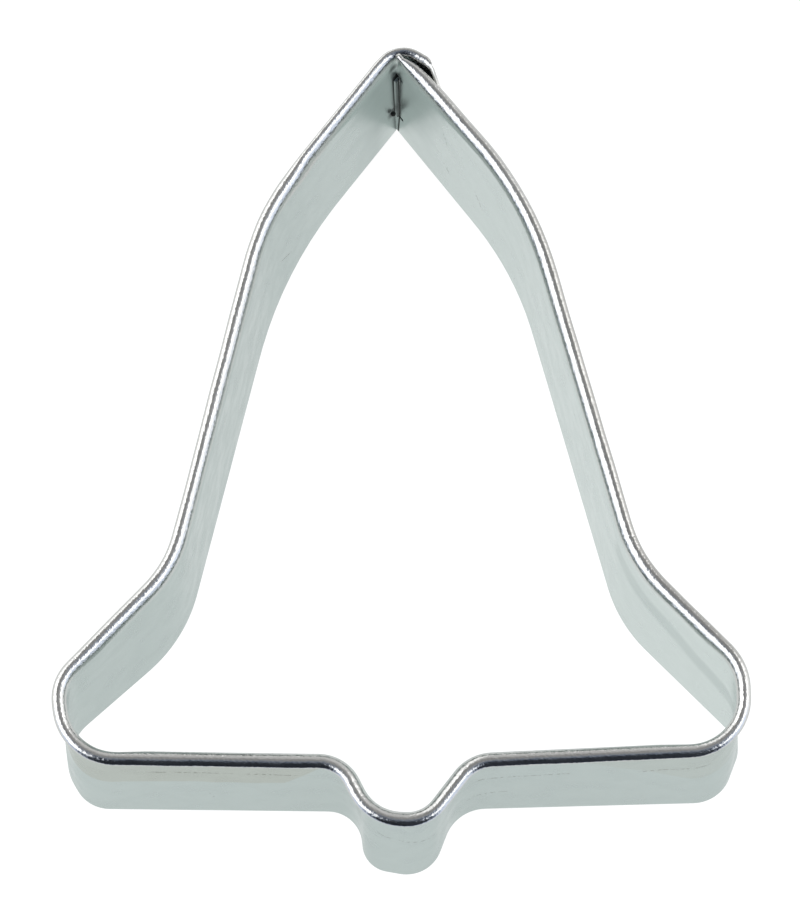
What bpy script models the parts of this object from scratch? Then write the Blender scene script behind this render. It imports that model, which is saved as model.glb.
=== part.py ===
"""Bell-shaped cookie cutter: a strip of sheet metal bent on edge, with a rolled rim and a welded seam.

The bell lies flat with its cutting edge on Z = 0 and its rolled rim on top. X runs across the bell, and Y
runs from the clapper to the apex. All sizes are in millimetres, and MM turns them into Blender's metres.
"""

import math
from typing import NamedTuple

import bmesh
import bpy
from mathutils import Matrix, Vector

MM = 0.001

# Overall size of the bell at its rolled rim
BELL_WIDTH = 63.6
BELL_LENGTH = 74.6

# Sheet and rim
BAND_HEIGHT = 20.0
SHEET = 0.3
BEAD = 1.35
BEAD_TURN = math.radians(275)
FOOT_TRIM = 0.1

# Seam at the apex: the right end's tab lies inside the left wall, the left end's flap outside the right
LAP_GAP = 0.06
LAP_TOP = 14.9
TAB_BOTTOM = 4.8
TAB_WIDTH = 0.75
TAB_FOLD_RADIUS = 0.25
NOTCH_HEIGHT = 0.6
NOTCH_WIDTH = 0.45
FLAP_FOLD_RADIUS = 0.35
FLAP_BEAD_END = 2.1
FLAP_KINK = 2.95
FLAP_LENGTH = 4.9

# Above the lap the flap leans out past the right wall's bead: its distance from that wall at the rim
RIM_FOLD_RADIUS = 1.9
RIM_FOLD_RISE = 0.65
RIM_KINK_RISE = 1.55
RIM_END_RISE = 1.4

# The bead is thin and part unrolled at both ends of the strip
TIP_BEAD = 0.7
TIP_TURN = math.radians(80)
NOTCH_TURN = math.radians(180)
FOLD_BEAD = 0.9
FLAP_BEAD = 0.9
KINK_TURN = math.radians(60)
FLAP_END_TURN = math.radians(30)
BEAD_TAPER = 2.8

# Welds
WELD_DIAMETER = 1.6
WELD_ALONG = 2.7
WELD_HEIGHTS = {"spot_weld_lower": 4.0, "spot_weld_upper": 11.0}
WELD_DEPTH = 0.15
WELD_DIMPLE = 0.05
WELD_GAP = 0.05
SEAT_HEADROOM = 1.0
TACK_DIAMETER = 0.5
TACK_HEIGHT = 7.1
TACK_GAP = 0.04

# Smoothness, and the most of a straight run that the bend at one of its ends may take
ARC_STEP = math.radians(14)
ARC_SAG = 0.04
BEAD_STEPS = 10
RUN_STEP = 14.0
TURN_STEP = math.radians(36)
RUN_SHARE = 0.49
WELD_SIDES = 32
TACK_SIDES = 16


class Bend(NamedTuple):
    """A corner of the outline, rounded to a radius."""

    x: float
    y: float
    radius: float


# Corners of the middle of the sheet, clockwise from the apex, at the cutting edge and at the wall's top.
# In percent: X from the axis and the radius of the width, Y from the lips of the length.
APEX_EDGE = Vector((0.0, 89.1))
APEX_RIM = Vector((0.0, 89.4))
BENDS = {
    "right shoulder": (Bend(17.5, 70.0, 49.5), Bend(18.2, 70.3, 51.4)),
    "right waist": (Bend(32.5, 23.9, 21.7), Bend(33.4, 23.5, 23.6)),
    "right upper lip": (Bend(50.0, 8.6, 4.7), Bend(48.5, 10.4, 9.1)),
    "right lower lip": (Bend(46.7, 0.9, 5.5), Bend(49.2, 0.9, 7.0)),
    "right neck": (Bend(8.5, 0.0, 6.4), Bend(10.5, -0.7, 6.6)),
    "right clapper": (Bend(4.6, -9.1, 5.0), Bend(3.8, -8.3, 5.0)),
    "left clapper": (Bend(-4.4, -7.2, 4.2), Bend(-3.0, -7.9, 6.6)),
    "left neck": (Bend(-5.3, -0.3, 5.5), Bend(-7.5, -0.8, 6.0)),
    "left lower lip": (Bend(-44.5, 0.1, 5.2), Bend(-46.7, -0.3, 6.3)),
    "left upper lip": (Bend(-49.5, 7.4, 7.5), Bend(-47.8, 8.2, 6.9)),
    "left waist": (Bend(-31.0, 21.8, 23.1), Bend(-31.4, 22.8, 18.8)),
    "left shoulder": (Bend(-17.0, 70.2, 66.8), Bend(-18.5, 68.4, 35.3)),
}


class Station(NamedTuple):
    """A place along the strip: where the sheet is, which way is outward, and its bead."""

    point: Vector
    outward: Vector
    bead: float
    turn: float


def clear_scene():
    """Remove every object that the scene holds."""
    for item in list(bpy.data.objects):
        bpy.data.objects.remove(item, do_unlink=True)


def make_collection(name):
    """Add a collection to the scene."""
    collection = bpy.data.collections.new(name)
    bpy.context.scene.collection.children.link(collection)
    return collection


def metal(name, colour, roughness):
    """Return a bare metal finish."""
    material = bpy.data.materials.new(name)
    material.use_nodes = True
    shader = material.node_tree.nodes["Principled BSDF"]
    shader.inputs["Base Color"].default_value = (*colour, 1.0)
    shader.inputs["Metallic"].default_value = 1.0
    shader.inputs["Roughness"].default_value = roughness
    return material


def outward_of(direction):
    """Return the side of a clockwise run that faces away from the bell's inside."""
    return Vector((-direction.y, direction.x))


def wall_top():
    """Height of the bead's middle, where the flat wall ends."""
    return BAND_HEIGHT - BEAD / 2


def main_bends(height):
    """Return the apex and the bends of the outline at a height, in millimetres."""
    share = height / wall_top()
    wide = BELL_WIDTH / 100
    long = BELL_LENGTH / 100
    apex = APEX_EDGE.lerp(APEX_RIM, share) * long
    bends = []
    for edge, rim in BENDS.values():
        x, y, radius = (low + share * (high - low) for low, high in zip(edge, rim))
        bends.append(Bend(x * wide, y * long, radius * wide))
    return apex, bends


def rise(height, at_rim):
    """Return how far the flap's middle stands outside the right wall's, which it leaves above the lap."""
    flat = SHEET + LAP_GAP
    share = max(0.0, (height - LAP_TOP) / (wall_top() - LAP_TOP))
    return flat + share * (at_rim - flat)


def strip_bends(height):
    """Return every corner of the strip at a height, end to end, each with its bead's size and turn."""
    apex, bends = main_bends(height)
    right = (Vector(bends[0][:2]) - apex).normalized()
    left = (Vector(bends[-1][:2]) - apex).normalized()
    right_out = outward_of(right)
    apart = abs(right.cross(left))
    rim_share = max(0.0, (height - LAP_TOP) / (wall_top() - LAP_TOP))
    inner_fold = apex + right * ((SHEET + LAP_GAP) / apart)
    fold = apex - left * (rise(height, RIM_FOLD_RISE) / apart)
    kink = apex + right * FLAP_KINK + right_out * rise(height, RIM_KINK_RISE)
    bead_end = fold.lerp(kink, FLAP_BEAD_END / FLAP_KINK)
    flap_end = apex + right * FLAP_LENGTH + right_out * rise(height, RIM_END_RISE)
    fold_radius = FLAP_FOLD_RADIUS + rim_share * (RIM_FOLD_RADIUS - FLAP_FOLD_RADIUS)
    notch_end = inner_fold + right * (TAB_FOLD_RADIUS / math.tan(right.angle(left) / 2) + NOTCH_WIDTH)
    corners = [
        (Bend(*(inner_fold + left * TAB_WIDTH), 0.0), TIP_BEAD, TIP_TURN),
        (Bend(*inner_fold, TAB_FOLD_RADIUS), TIP_BEAD, TIP_TURN),
        (Bend(*notch_end, 0.0), TIP_BEAD, NOTCH_TURN),
        (Bend(*(notch_end + right * BEAD_TAPER), 0.0), BEAD, BEAD_TURN),
    ]
    corners += [(bend, BEAD, BEAD_TURN) for bend in bends]
    corners += [
        (Bend(*(apex + left * BEAD_TAPER), 0.0), BEAD, BEAD_TURN),
        (Bend(*fold, fold_radius), FOLD_BEAD, BEAD_TURN),
        (Bend(*bead_end, 0.0), FLAP_BEAD, BEAD_TURN),
        (Bend(*kink, 0.0), FLAP_BEAD, KINK_TURN),
        (Bend(*flap_end, 0.0), FLAP_BEAD, FLAP_END_TURN),
    ]
    return corners


def bend_reach(corners, index):
    """Return the length that a bend's arc takes from each run beside it, limited by the shorter run."""
    if index in (0, len(corners) - 1):
        return 0.0
    here = Vector(corners[index][0][:2])
    before = here - Vector(corners[index - 1][0][:2])
    after = Vector(corners[index + 1][0][:2]) - here
    wanted = corners[index][0].radius * math.tan(before.angle(after) / 2)
    return min(wanted, RUN_SHARE * before.length, RUN_SHARE * after.length)


def arc_points(before, here, after, reach, steps):
    """Return the points and directions of an arc that touches both runs at a distance from their corner."""
    start_way = (here - before).normalized()
    end_way = (after - here).normalized()
    turn = start_way.angle_signed(end_way)
    if reach == 0.0 or steps == 0:
        way = (start_way + end_way).normalized()
        return [(here, way)]
    radius = reach / math.tan(abs(turn) / 2)
    side = outward_of(start_way) * (-1 if turn > 0 else 1)
    centre = here - start_way * reach + side * radius
    points = []
    for step in range(steps + 1):
        turned = Matrix.Rotation(-turn * step / steps, 2)
        points.append((centre - turned @ (side * radius), turned @ start_way))
    return points


def arc_counts(levels):
    """Return the number of arc steps of each bend, the same at every height."""
    counts = []
    for index in range(len(levels[0])):
        most = 0
        for corners in levels:
            if corners[index][0].radius and 0 < index < len(corners) - 1:
                here = Vector(corners[index][0][:2])
                before = here - Vector(corners[index - 1][0][:2])
                after = Vector(corners[index + 1][0][:2]) - here
                step = min(ARC_STEP, 2 * math.acos(1 - ARC_SAG / corners[index][0].radius))
                most = max(most, math.ceil(before.angle(after) / step), 2)
        counts.append(most)
    return counts


def run_counts(corners):
    """Return the number of pieces of each straight run: more where it is long or where the bead unrolls."""
    counts = []
    for (start, _, start_turn), (end, _, end_turn) in zip(corners, corners[1:]):
        length = (Vector(end[:2]) - Vector(start[:2])).length
        counts.append(max(1, round(length / RUN_STEP), math.ceil(abs(end_turn - start_turn) / TURN_STEP)))
    return counts


def between(start, end, share):
    """Return the station a share of the way along the straight run between two stations."""
    way = (end.point - start.point).normalized()
    bead = start.bead + share * (end.bead - start.bead)
    turn = start.turn + share * (end.turn - start.turn)
    return Station(start.point.lerp(end.point, share), outward_of(way), bead, turn)


def trace(corners, arcs, runs):
    """Return the strip's stations at one height, from its inner end to its outer end."""
    stations = []
    last = len(corners) - 1
    for index, (bend, bead, turn) in enumerate(corners):
        here = Vector(bend[:2])
        before = Vector(corners[max(index - 1, 0)][0][:2])
        after = Vector(corners[min(index + 1, last)][0][:2])
        if index == 0:
            before = here * 2 - after
        if index == last:
            after = here * 2 - before
        points = arc_points(before, here, after, bend_reach(corners, index), arcs[index])
        arc = [Station(point, outward_of(way), bead, turn) for point, way in points]
        if stations:
            start = stations[-1]
            pieces = runs[index - 1]
            stations += [between(start, arc[0], piece / pieces) for piece in range(1, pieces)]
        stations += arc
    return stations


def sheet_surface():
    """Return the points and faces of the middle of the sheet: the wall's rows, then the bead's."""
    notches = [TAB_BOTTOM - NOTCH_HEIGHT, TAB_BOTTOM, LAP_TOP, LAP_TOP + NOTCH_HEIGHT]
    heights = [-FOOT_TRIM, *notches, wall_top()]
    levels = [strip_bends(height) for height in heights]
    arcs = arc_counts(levels)
    runs = run_counts(levels[0])
    rows = [trace(corners, arcs, runs) for corners in levels]
    points = [[(s.point.x, s.point.y, height) for s in row] for row, height in zip(rows, heights)]
    for step in range(1, BEAD_STEPS + 1):
        line = []
        for station in rows[-1]:
            radius = (station.bead - SHEET) / 2
            turned = station.turn * step / BEAD_STEPS
            spot = station.point + station.outward * radius * (1 - math.cos(turned))
            line.append((spot.x, spot.y, wall_top() + radius * math.sin(turned)))
        points.append(line)
    across = len(rows[0])
    fold_middle = runs[0] + arcs[1] // 2
    fold_end = runs[0] + arcs[1]
    notch_end = fold_end + runs[1]
    # The right end's first column from the bottom up: below the tab, a notch, the tab, a notch, and the rim
    starts = [fold_middle, notch_end, 0, notch_end, fold_end]
    faces = []
    for row in range(len(points) - 1):
        start = starts[min(row, len(starts) - 1)]
        for column in range(start, across - 1):
            corner = row * across + column
            faces.append((corner, corner + 1, corner + 1 + across, corner + across))
    vertices = [Vector(point) * MM for line in points for point in line]
    return vertices, faces


def show_as_cutter(item):
    """Leave a cutter out of renders and draw it as wires."""
    item.hide_render = True
    item.display_type = "WIRE"


def cut_away(body, cutter):
    """Cut one solid out of another."""
    cut = body.modifiers.new(cutter.name, "BOOLEAN")
    cut.operation = "DIFFERENCE"
    cut.solver = "EXACT"
    cut.object = cutter


def move_to(item, collection):
    """Move a new object to a collection."""
    item.users_collection[0].objects.unlink(item)
    collection.objects.link(item)


def make_band(collection):
    """Model the strip: its middle surface, given the sheet's thickness."""
    vertices, faces = sheet_surface()
    mesh = bpy.data.meshes.new("cutter_band")
    mesh.from_pydata(vertices, [], faces)
    shape = bmesh.new()
    shape.from_mesh(mesh)
    bmesh.ops.delete(shape, geom=[v for v in shape.verts if not v.link_faces], context="VERTS")
    shape.to_mesh(mesh)
    shape.free()
    mesh.shade_smooth()
    band = bpy.data.objects.new("cutter_band", mesh)
    collection.objects.link(band)
    thickness = band.modifiers.new("sheet thickness", "SOLIDIFY")
    thickness.thickness = SHEET * MM
    thickness.offset = 0.0
    thickness.use_even_offset = True
    mesh.materials.append(metal("bright sheet steel", (0.62, 0.64, 0.63), 0.28))
    return band


def trim_foot(band, cutters):
    """Cut the strip's lower edge level, on Z = 0."""
    span = 2 * max(band.dimensions)
    bpy.ops.mesh.primitive_cube_add(size=1.0)
    cutter = bpy.context.object
    cutter.name = "foot_cut"
    cutter.data.name = cutter.name
    cutter.dimensions = (span, span, 2 * BAND_HEIGHT * MM)
    cutter.location.z = -BAND_HEIGHT * MM
    move_to(cutter, cutters)
    show_as_cutter(cutter)
    cut_away(band, cutter)


def lap_frame(height):
    """Return the right wall's place beside the apex at a height, its direction along, outward and up."""
    low_apex, low_bends = main_bends(0.0)
    apex, bends = main_bends(height)
    along = (Vector(bends[0][:2]) - apex).normalized()
    low_along = (Vector(low_bends[0][:2]) - low_apex).normalized()
    place = apex + along * WELD_ALONG
    low_place = low_apex + low_along * WELD_ALONG
    up = Vector((*(place - low_place), height)).normalized()
    out = Vector((*along, 0.0)).cross(up)
    out *= -1 if out.xy.dot(outward_of(along)) < 0 else 1
    return Vector((*place, height)), out.normalized()


def disc(name, radius, inner, outer, height, collection):
    """Model a round plug square to the right wall, between two distances from the middle of its sheet."""
    place, out = lap_frame(height)
    bpy.ops.mesh.primitive_cylinder_add(
        vertices=WELD_SIDES, radius=radius * MM, depth=(outer - inner) * MM)
    plug = bpy.context.object
    plug.name = name
    plug.data.name = name
    plug.rotation_euler = out.to_track_quat("Z", "Y").to_euler()
    plug.location = (place + out * (inner + outer) / 2) * MM
    move_to(plug, collection)
    return plug


def make_spot_weld(name, height, band, parts, cutters):
    """Model a spot weld as a plug through the flap and into the right wall, and cut its seat."""
    floor = SHEET / 2 - WELD_DEPTH
    face = SHEET * 1.5 + LAP_GAP
    weld = disc(name, WELD_DIAMETER / 2, floor, face - WELD_DIMPLE, height, parts)
    weld.data.materials.append(metal("weld metal", (0.42, 0.43, 0.44), 0.4))
    radius = WELD_DIAMETER / 2 + WELD_GAP
    seat = disc(name + "_seat", radius, floor - WELD_GAP, face + SEAT_HEADROOM, height, cutters)
    show_as_cutter(seat)
    cut_away(band, seat)


def make_tack_weld(collection):
    """Model the small bead of weld between the tab's free edge and the left wall."""
    apex, bends = main_bends(TACK_HEIGHT)
    right = (Vector(bends[0][:2]) - apex).normalized()
    left = (Vector(bends[-1][:2]) - apex).normalized()
    inner_fold = apex + right * ((SHEET + LAP_GAP) / abs(right.cross(left)))
    inward = outward_of(left)
    from_wall = SHEET / 2 + TACK_GAP + TACK_DIAMETER / 2
    tip = inner_fold + left * (TAB_WIDTH + TACK_GAP + TACK_DIAMETER / 2)
    spot = tip + inward * (from_wall - SHEET - LAP_GAP)
    bpy.ops.mesh.primitive_uv_sphere_add(
        segments=TACK_SIDES, ring_count=TACK_SIDES // 2, radius=TACK_DIAMETER / 2 * MM)
    tack = bpy.context.object
    tack.name = "tack_weld"
    tack.data.name = tack.name
    tack.location = (spot.x * MM, spot.y * MM, TACK_HEIGHT * MM)
    tack.data.shade_smooth()
    tack.data.materials.append(metal("burnt weld metal", (0.10, 0.10, 0.11), 0.6))
    move_to(tack, collection)


def centre_on_origin(band, items):
    """Move every piece so that the middle of the band stands over the origin."""
    corners = [Vector(corner) for corner in band.bound_box]
    middle = (Vector(map(min, zip(*corners))) + Vector(map(max, zip(*corners)))) / 2
    for item in items:
        item.location -= Vector((middle.x, middle.y, 0.0))


def main():
    clear_scene()
    parts = make_collection("bell_cookie_cutter")
    cutters = make_collection("cutters")
    band = make_band(parts)
    bpy.context.view_layer.update()
    trim_foot(band, cutters)
    for name, height in WELD_HEIGHTS.items():
        make_spot_weld(name, height, band, parts, cutters)
    make_tack_weld(parts)
    bpy.context.view_layer.update()
    centre_on_origin(band, [*parts.objects, *cutters.objects])


main()
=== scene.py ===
"""Looks of the bell-shaped cookie cutter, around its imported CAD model.

The strip is worked out again as one fine sheet with a rolled rim, the welds get their finish, and the
floor, the light and the camera are added. Lengths in tables are in millimetres, and MM makes them metres.
"""
import math
from functools import partial

import bpy
import numpy as np
from bpy.props import FloatProperty, FloatVectorProperty, IntProperty, PointerProperty
from bpy.types import Operator, Panel, PropertyGroup
from mathutils import Euler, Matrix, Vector


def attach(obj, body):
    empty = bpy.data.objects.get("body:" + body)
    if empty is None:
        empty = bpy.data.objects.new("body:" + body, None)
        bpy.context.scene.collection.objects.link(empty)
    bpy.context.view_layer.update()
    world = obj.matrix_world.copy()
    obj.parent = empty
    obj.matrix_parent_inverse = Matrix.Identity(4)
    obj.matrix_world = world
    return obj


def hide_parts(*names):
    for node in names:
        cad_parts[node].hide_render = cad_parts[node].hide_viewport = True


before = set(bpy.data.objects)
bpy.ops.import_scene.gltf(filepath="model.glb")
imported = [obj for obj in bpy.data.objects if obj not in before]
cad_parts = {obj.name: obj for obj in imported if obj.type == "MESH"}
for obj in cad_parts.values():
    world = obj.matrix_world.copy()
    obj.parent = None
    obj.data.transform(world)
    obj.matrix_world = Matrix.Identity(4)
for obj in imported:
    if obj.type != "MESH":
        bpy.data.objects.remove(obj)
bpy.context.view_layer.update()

bl_info = {
    "name": "Bell Cookie Cutter",
    "version": (1, 0, 0),
    "blender": (4, 5, 0),
    "location": "View3D > Sidebar > Cutter",
    "description": "Builds a rolled sheet-steel cookie cutter and a plain stage around it",
    "category": "Object",
}

MM = 0.001

# The strip as in the CAD model: overall size, sheet and rim
BELL_WIDTH = 63.6
BELL_LENGTH = 74.6
BELL_MIDDLE = np.array([0.43592, 30.13876])
BAND_HEIGHT = 20.0
SHEET = 0.3
BEAD = 1.35
BEAD_TURN = math.radians(275)
RIM_LEVEL = BAND_HEIGHT - BEAD / 2

# Inner tab, folded along the left wall between two notches
LAP_GAP = 0.06
LAP_TOP = 14.9
TAB_BOTTOM = 4.8
TAB_WIDTH = 0.67
TAB_FOOT_WIDTH = 0.45
TAB_FOLD_RADIUS = 0.25
NOTCH_HEIGHT = 0.6
NOTCH_WIDTH = 0.45
END_GAP = 0.04

# Outer flap, folded round the apex and kinked: places along the right wall, and at the rim how far off it
FLAP_FOLD_RADIUS = 0.35
FLAP_BEAD_END = 2.25
FLAP_KINK = 2.95
FLAP_LENGTH = 4.9
RIM_FOLD_RADIUS = 1.9
RIM_FOLD_RISE = 0.42
RIM_KINK_RISE = 1.73
RIM_END_RISE = 1.12
KINK_RADIUS = 0.7

# Bead by the seam: it grows from a tip on the right wall, and narrows and opens along the flap
TIP_BEAD = 0.5
TIP_LENGTH = 0.45
TIP_GROWTH = 1.3
TIP_TURN = math.radians(150)
FOLD_BEAD = 1.12
FLAP_BEAD = 1.08
KINK_BEAD = 0.8
TAIL_BEAD = 0.6
KINK_TURN = math.radians(60)
FLAP_END_TURN = math.radians(30)
BEAD_TAPER = 2.8
FOLD_TAPER = 2.0

# How much of the run between two bends they may take together, and the least that one takes
RUN_SHARE = 0.9
SHORTEST_REACH = 0.08

# How fine the strip is drawn: turn between the stations of a bend and its fewest steps, steps along the
# walls and by the seam, the step beside a free end, and how many parts each step of a bend is summed in
BEND_STEP = math.radians(5)
FEWEST_BEND_STEPS = 6
WALL_STEP = 0.5
SEAM_STEP = 0.3
END_STEP = 0.05
SUMMED_PARTS = 12
PROFILE_STEPS = 400
# Keeps a division from dividing by nothing
NEARLY_NOTHING = 1e-9
# Rows of the wall below, behind and above the tab
FOOT_ROWS = [0, 0.05, 0.5, 1.2, 2.2, 3.2]
TAB_ROWS = [6, 7.4, 8.8, 10.2, 11.6, 13, 14]
TOP_ROWS = [16.2, 17, 17.8]
# The sheet is thinner at the foot and at the flap's end, where it was sheared
SHEARED_SHARE = 0.65
SHARP_ANGLE = math.radians(35)

# Corners in percent, at the edge and at the rim: X from the axis and radius as shares of the width, Y from
# the lips as a share of the length
APEX = np.array([[0.0, 89.3], [0.0, 89.2]])
CORNERS = np.array([
    [[17.5, 70.0, 49.5], [18.2, 70.3, 51.4]],
    [[32.5, 23.9, 21.7], [33.4, 23.5, 23.6]],
    [[50.0, 8.6, 4.7], [48.35, 10.3, 8.2]],
    [[46.7, 0.9, 5.5], [49.0, 0.7, 7.2]],
    [[8.5, 0.0, 6.4], [10.5, -0.9, 6.6]],
    [[4.6, -8.9, 5.0], [3.8, -8.4, 5.0]],
    [[-4.4, -7.5, 4.2], [-3.3, -8.0, 6.6]],
    [[-5.3, -0.3, 5.5], [-7.5, -1.0, 6.0]],
    [[-44.5, 0.1, 5.2], [-46.25, -0.5, 7.3]],
    [[-49.5, 7.4, 7.5], [-47.5, 8.1, 6.1]],
    [[-31.0, 21.8, 23.1], [-31.4, 22.8, 18.8]],
    [[-17.0, 70.2, 66.8], [-18.5, 68.4, 35.3]],
])

# The roll's radius, tight over the top and added where it flares out of the wall: as rolled, pressed by the
# seam, and drawn round the lips
ROLL_RADII = np.array([[0.42, 1.2], [0.16, 2.0], [0.42, 0.65]])
ROLL_FLARE_TURN = math.radians(50)
CHANGE_RUN = 2.5
# The strip's corners by their order from the tab to the flap, the last ones counted from the flap's end
TAB_FOLD = 1
NOTCH_END = 2
TAB_CORNERS = 4
LIP_RUNS = ((6, 7), (12, 13))
LEFT_SHOULDER = -6
FLAP_CORNERS = slice(-4, None)

# The hand-bent wall's slow waves: length of each along the strip and up it, its offset and its share
RIPPLES = ((2.9, 7.0, 0.0, 0.5), (1.7, -4.1, 1.3, 0.3), (5.3, 3.3, 0.4, 0.4))
# How much the bead's width wanders, and how much closer its waves are than the wall's
BEAD_RIPPLE = 0.02
BEAD_WAVES = 1.7
# The waves fade towards the foot and the bead as this power of a sine
RIPPLE_RISE = 0.7


def linear(hex_colour):
    """sRGB hex to linear RGB, by the standard curve with its straight foot."""
    parts = np.array([int(hex_colour[i:i + 2], 16) for i in (1, 3, 5)]) / 255
    return tuple(np.where(parts <= 0.04045, parts / 12.92, ((parts + 0.055) / 1.055) ** 2.4))


# Settings


class BandSettings(PropertyGroup):
    """Sizes of the strip."""

    height: FloatProperty(
        name="Height", description="From the cutting edge to the top of the rolled rim",
        default=BAND_HEIGHT * MM, min=0.0195, unit="LENGTH")
    sheet: FloatProperty(
        name="Sheet", description="Thickness of the sheet", default=SHEET * MM, min=0.0001, unit="LENGTH")
    bead: FloatProperty(
        name="Bead", description="Width of the rolled rim", default=BEAD * MM, min=0.0005, unit="LENGTH")
    ripple: FloatProperty(
        name="Ripple", description="How far the wall wanders out of true", default=0.03 * MM,
        unit="LENGTH")
    roll_steps: IntProperty(
        name="Roll steps", description="Faces round the rolled rim", default=26, min=6)


class SteelSettings(PropertyGroup):
    """Colours of the metal."""

    sheet: FloatVectorProperty(
        name="Sheet", description="Clean tinplate", subtype="COLOR", size=3, default=linear("#BDC6C4"))
    # Painted sheen: a brighter colour painted on the inside of the right walls and near the apex
    bright: FloatVectorProperty(
        name="Bright tin", description="Tinplate that handling hasn't dulled", subtype="COLOR", size=3,
        default=linear("#D8DFDD"))
    rim: FloatVectorProperty(
        name="Rim", description="Tin stretched over the rolled rim", subtype="COLOR", size=3,
        default=linear("#C9C9C7"))
    # Painted shade: a darker colour on the outer half of the right bead
    outer_bead_shade_colour: FloatVectorProperty(
        name="Gripped", description="Tin dulled by fingers", subtype="COLOR", size=3,
        default=linear("#908D88"))
    scuffed: FloatVectorProperty(
        name="Scuffed", description="Dots of dirt in the scuffs", subtype="COLOR", size=3,
        default=linear("#77766B"))
    warm: FloatVectorProperty(
        name="Warm film", description="Oil film left under the rim", subtype="COLOR", size=3,
        default=linear("#B8BCB5"))
    # Painted shade: dark colour for the seam's gaps and folds and under the left bead by the apex, and for a
    # dark spot round the tack weld
    seam_shade_colour: FloatVectorProperty(
        name="Soil", description="Soot and dirt in the seam", subtype="COLOR", size=3,
        default=linear("#2E2F2C"))
    weld: FloatVectorProperty(
        name="Weld", description="Pressed spot weld", subtype="COLOR", size=3, default=linear("#8C8E8F"))
    tempered: FloatVectorProperty(
        name="Tempered", description="Blotches that heat left on the spot welds", subtype="COLOR", size=3,
        default=linear("#6E675C"))
    burnt: FloatVectorProperty(
        name="Burnt weld", description="Scale on the tack weld", subtype="COLOR", size=3,
        default=linear("#3A3936"))
    crust: FloatVectorProperty(
        name="Crust", description="Paler grit in the tack weld's scale", subtype="COLOR", size=3,
        default=linear("#5B5A55"))


class StageSettings(PropertyGroup):
    """Colour and light of the stage."""

    floor: FloatVectorProperty(
        name="Floor", description="Colour of the floor", subtype="COLOR", size=3, default=(1.0, 1.0, 1.0))
    side_light: FloatProperty(
        name="Side light", description="Radiance of the soft boxes", default=2.3, min=0)
    overhead: FloatProperty(
        name="Overhead", description="Radiance of the gap overhead", default=0.4, min=0)
    dusk: FloatVectorProperty(
        name="Dusk", description="Colour of the dim room behind the camera", subtype="COLOR", size=3,
        default=(0.8, 0.95, 1.25), max=2.0)


# Outline of the strip


def unit(vectors):
    """Vectors of length one."""
    return vectors / np.linalg.norm(vectors, axis=-1, keepdims=True)


def outward_of(ways):
    """The side of a clockwise run that faces away from the bell's inside."""
    return np.stack([-ways[..., 1], ways[..., 0]], axis=-1)


def corner_levels(heights):
    """Corners of the strip at every height.

    Each corner goes in a straight line from its place at the cutting edge to its place at the rim. The
    first four belong to the inner tab and the last five to the outer flap, which are set off from the walls
    beside the apex. Returns places (levels, corners, 2) and radii (levels, corners).
    """
    share = heights / RIM_LEVEL
    size = np.array([BELL_WIDTH, BELL_LENGTH, BELL_WIDTH]) / 100
    bends = (CORNERS[:, 0] + share[:, None, None] * (CORNERS[:, 1] - CORNERS[:, 0])) * size
    apex = (APEX[0] + share[:, None] * (APEX[1] - APEX[0])) * size[:2]
    right = unit(bends[:, 0, :2] - apex)
    left = unit(bends[:, -1, :2] - apex)
    out = outward_of(right)
    apart = np.abs(right[:, 0] * left[:, 1] - right[:, 1] * left[:, 0])[:, None]
    flat = SHEET + LAP_GAP
    rim_share = np.clip((heights - LAP_TOP) / (RIM_LEVEL - LAP_TOP), 0.0, None)[:, None]

    def rise(at_rim):
        return flat + rim_share * (at_rim - flat)

    inner_fold = apex + right * flat / apart
    half_angle = np.arccos(np.sum(right * left, axis=1))[:, None] / 2
    notch_end = inner_fold + right * (TAB_FOLD_RADIUS / np.tan(half_angle) + NOTCH_WIDTH)
    fold = apex - left * rise(RIM_FOLD_RISE) / apart
    kink = apex + right * FLAP_KINK + out * rise(RIM_KINK_RISE)
    bead_end = fold + (kink - fold) * FLAP_BEAD_END / FLAP_KINK
    flap_end = apex + right * FLAP_LENGTH + out * rise(RIM_END_RISE)
    fold_radius = FLAP_FOLD_RADIUS + rim_share[:, 0] * (RIM_FOLD_RADIUS - FLAP_FOLD_RADIUS)
    none = np.zeros_like(heights)
    tab_width = np.interp(heights, [TAB_BOTTOM, LAP_TOP], [TAB_FOOT_WIDTH, TAB_WIDTH])[:, None]
    tab = [inner_fold + left * tab_width, inner_fold, notch_end, notch_end + right * BEAD_TAPER]
    flap = [apex + left * BEAD_TAPER, fold, bead_end, kink, flap_end]
    places = np.stack([*tab, *np.moveaxis(bends[..., :2], 1, 0), *flap], axis=1)
    tab_radii = [none, none + TAB_FOLD_RADIUS, none, none]
    flap_radii = [none, fold_radius, none, none + KINK_RADIUS, none]
    radii = np.stack([*tab_radii, *bends[..., 2].T, *flap_radii], axis=1)
    return places, radii


def eased(share, ramp=0.1):
    """Share of a bend's turn done after a share of its length: the curvature rises, holds and falls."""
    start = share ** 2 / (2 * ramp * (1 - ramp))
    middle = (share - ramp / 2) / (1 - ramp)
    end = 1 - (1 - share) ** 2 / (2 * ramp * (1 - ramp))
    return np.where(share < ramp, start, np.where(share > 1 - ramp, end, middle))


def bend_reaches(places, radii):
    """How much of the runs beside it each bend takes: radius times the tangent of half its turn.

    Where two bends want more than the run between them, they share it in proportion.
    """
    runs = np.diff(places, axis=1)
    lengths = np.linalg.norm(runs, axis=2)
    ways = runs / lengths[..., None]
    half = np.arccos(np.clip(np.sum(ways[:, 1:] * ways[:, :-1], axis=2), -1, 1)) / 2
    wanted = np.pad(radii[:, 1:-1] * np.tan(half), ((0, 0), (1, 1)))
    fit = np.minimum(1, RUN_SHARE * lengths / np.maximum(wanted[:, 1:] + wanted[:, :-1], NEARLY_NOTHING))
    fit = np.pad(fit, ((0, 0), (1, 1)), constant_values=1)
    return wanted * np.minimum(fit[:, 1:], fit[:, :-1])


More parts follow.
